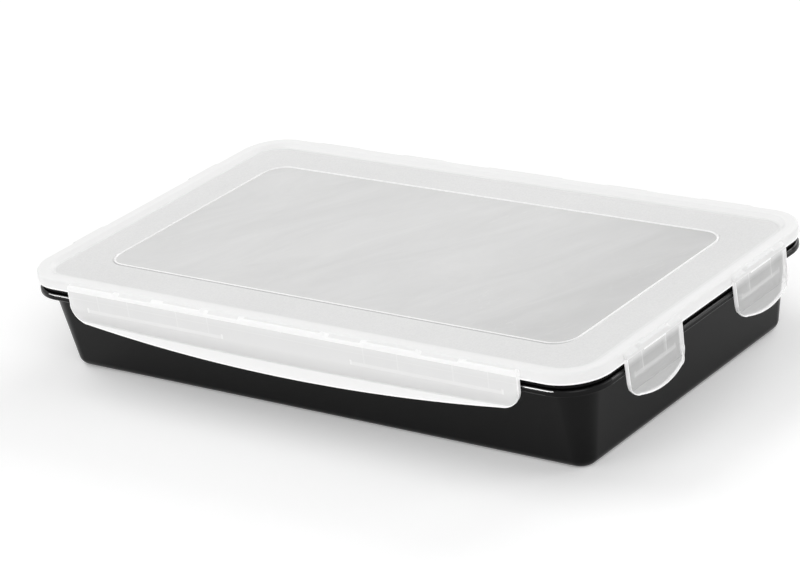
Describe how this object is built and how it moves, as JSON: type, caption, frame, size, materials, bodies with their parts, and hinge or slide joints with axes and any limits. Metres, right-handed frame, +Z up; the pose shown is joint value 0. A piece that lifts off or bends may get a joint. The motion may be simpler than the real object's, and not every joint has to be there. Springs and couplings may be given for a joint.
{
  "type": "marinade tray",
  "caption": "Deep rectangular coated steel tray with a rolled rim and a translucent plastic lid that snaps on with film-hinged flaps round its sides.",
  "frame": {"origin": "on the surface that the tray stands on, below the middle of the object", "axes": "+X along the long side, +Y across the tray to the rear long flap, +Z up"},
  "size_m": [0.408, 0.2408, 0.0632],
  "materials": {
    "coated_steel": "dark non-stick coating, satin",
    "clear_plastic": "natural translucent polypropylene, satin border and glossier middle",
    "silicone": "matt dark silicone"
  },
  "bodies": {
    "tray": {"tray": "coated_steel"},
    "lid": {"lid": "clear_plastic", "seal_ring": "silicone"},
    "front_flap": {"front_flap": "clear_plastic"},
    "rear_flap": {"rear_flap": "clear_plastic"},
    "right_front_flap": {"right_front_flap": "clear_plastic"},
    "right_rear_flap": {"right_rear_flap": "clear_plastic"},
    "left_front_flap": {"left_front_flap": "clear_plastic"},
    "left_rear_flap": {"left_rear_flap": "clear_plastic"}
  },
  "joints": [
    {"name": "lid_lift", "type": "slide", "parent": "tray", "child": "lid", "axis": [0, 0, 1], "range_m": [0, 0.06]},
    {"name": "front_flap_hinge", "type": "hinge", "parent": "lid", "child": "front_flap", "pos_m": [0, -0.1174, 0.0586], "axis": [-1, 0, 0], "range_deg": [0, 150]},
    {"name": "rear_flap_hinge", "type": "hinge", "parent": "lid", "child": "rear_flap", "pos_m": [0, 0.1174, 0.0586], "axis": [1, 0, 0], "range_deg": [0, 150]},
    {"name": "right_front_flap_hinge", "type": "hinge", "parent": "lid", "child": "right_front_flap", "pos_m": [0.201, -0.0526, 0.0586], "axis": [0, -1, 0], "range_deg": [0, 150]},
    {"name": "right_rear_flap_hinge", "type": "hinge", "parent": "lid", "child": "right_rear_flap", "pos_m": [0.201, 0.0526, 0.0586], "axis": [0, -1, 0], "range_deg": [0, 150]},
    {"name": "left_front_flap_hinge", "type": "hinge", "parent": "lid", "child": "left_front_flap", "pos_m": [-0.201, -0.0526, 0.0586], "axis": [0, 1, 0], "range_deg": [0, 150]},
    {"name": "left_rear_flap_hinge", "type": "hinge", "parent": "lid", "child": "left_rear_flap", "pos_m": [-0.201, 0.0526, 0.0586], "axis": [0, 1, 0], "range_deg": [0, 150]}
  ]
}
